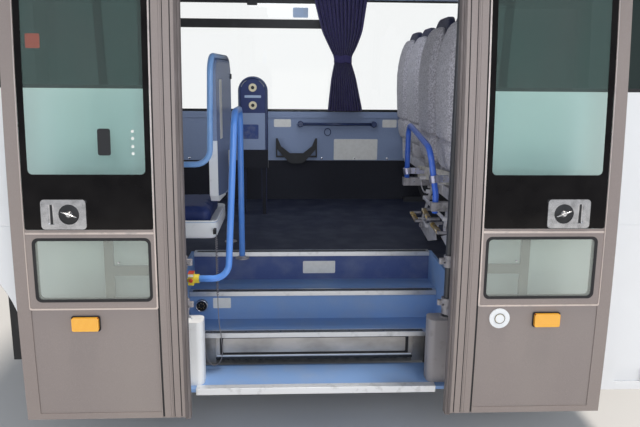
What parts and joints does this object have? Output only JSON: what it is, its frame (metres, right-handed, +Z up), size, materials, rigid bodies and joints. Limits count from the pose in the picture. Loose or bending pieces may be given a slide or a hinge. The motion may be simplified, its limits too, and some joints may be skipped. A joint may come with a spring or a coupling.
{
  "type": "bus middle entrance bay",
  "caption": "Full-width bus body section with twin outward swinging door leaves, a stepped well, handrails, seats and a far window with a curtain.",
  "frame": {"origin": "middle of the four mounting feet, on their lower faces", "axes": "+X towards the bus's front, +Y from the door side to the far side, +Z up"},
  "size_m": [3.34, 2.7688, 2.835],
  "materials": {
    "frame_steel": "satin",
    "floor_vinyl": "speckled safety vinyl",
    "step_vinyl": "speckled safety vinyl",
    "aluminium_strip": "brushed",
    "sill_strip": "satin",
    "stainless": "brushed",
    "black_plastic": "matt",
    "grey_moulding": "grained",
    "white_paint": "gloss",
    "side_glass": "tinted",
    "leaf_paint": "metallic taupe",
    "leaf_glass": "green tint",
    "leaf_rubber": "ribbed",
    "cord_sheath": "extruded",
    "clear_glass": "clear",
    "wall_lining": "grained laminate",
    "kick_carpet": "carpet",
    "dark_blue_coat": "powder coat",
    "blue_coat": "powder coat",
    "pale_blue_coat": "powder coat",
    "curtain_cloth": "pleated cloth",
    "board_vinyl": "padded vinyl",
    "white_moulding": "moulded",
    "yellow_plastic": "moulded",
    "seat_cloth": "woven",
    "seat_metal": "cast",
    "ceiling_lining": "laminate",
    "column_metal": "satin",
    "lock_metal": "satin chrome",
    "amber_lens": "moulded lens"
  },
  "bodies": {
    "bay": {"underframe": "frame_steel", "wheel_liner": "black_plastic", "floor_deck": "floor_vinyl", "step_well": "step_vinyl", "step_nosings": "aluminium_strip", "entry_sill": "sill_strip", "lift_cassette": "stainless", "cassette_brush": "black_plastic", "foot_covers": "grey_moulding", "riser_socket": "black_plastic", "near_frame": "frame_steel", "near_panel_rear": "white_paint", "near_panel_front": "white_paint", "near_glass_rear": "side_glass", "near_glass_front": "side_glass", "door_header": "leaf_paint", "far_frame": "frame_steel", "far_panel": "white_paint", "far_glass": "clear_glass", "far_hopper": "black_plastic", "far_trim": "wall_lining", "far_kick": "kick_carpet", "near_trim": "wall_lining", "far_grab_rail": "dark_blue_coat", "restraint_bracket": "black_plastic", "curtain": "curtain_cloth", "curtain_rail": "aluminium_strip", "backrest_board": "board_vinyl", "partition_panel": "white_moulding", "partition_rail": "blue_coat", "entry_rail": "pale_blue_coat", "right_rail": "blue_coat", "switch_box": "yellow_plastic", "fold_seat": "board_vinyl", "remote_cord": "cord_sheath", "cord_curl": "cord_sheath", "seat_backs": "seat_cloth", "seat_cushions": "seat_cloth", "seat_frames": "seat_metal", "rail_clamps": "seat_metal", "roof_skin": "white_paint", "roof_hoops": "frame_steel", "ceiling": "ceiling_lining"},
    "left_column": {"left_column": "column_metal"},
    "left_leaf": {"left_leaf_frame": "leaf_paint", "left_leaf_panel": "leaf_paint", "left_leaf_glass": "leaf_glass", "left_leaf_window": "leaf_glass", "left_leaf_seal": "leaf_rubber", "left_leaf_lock": "lock_metal", "left_leaf_lamp": "amber_lens"},
    "right_column": {"right_column": "column_metal"},
    "right_leaf": {"right_leaf_frame": "leaf_paint", "right_leaf_panel": "leaf_paint", "right_leaf_glass": "leaf_glass", "right_leaf_window": "leaf_glass", "right_leaf_seal": "leaf_rubber", "right_leaf_lock": "lock_metal", "right_leaf_lamp": "amber_lens", "right_leaf_button": "white_moulding"}
  },
  "joints": [
    {"name": "left_column_turn", "type": "hinge", "parent": "bay", "child": "left_column", "pos_m": [-0.675, -1.11, 0], "axis": [0, 0, 1], "range_deg": [0, 142.84]},
    {"name": "left_leaf_pivot", "type": "hinge", "parent": "left_column", "child": "left_leaf", "pos_m": [-0.93889, -1.31, 0], "axis": [0, 0, 1], "range_deg": [-142.84, 0]},
    {"name": "right_column_turn", "type": "hinge", "parent": "bay", "child": "right_column", "pos_m": [0.675, -1.11, 0], "axis": [0, 0, -1], "range_deg": [0, 142.84]},
    {"name": "right_leaf_pivot", "type": "hinge", "parent": "right_column", "child": "right_leaf", "pos_m": [0.93889, -1.31, 0], "axis": [0, 0, -1], "range_deg": [-142.84, 0]}
  ],
  "couplings": [
    {"joint": "left_leaf_pivot", "follows": "left_column_turn", "ratio": -1},
    {"joint": "right_leaf_pivot", "follows": "right_column_turn", "ratio": -1}
  ]
}
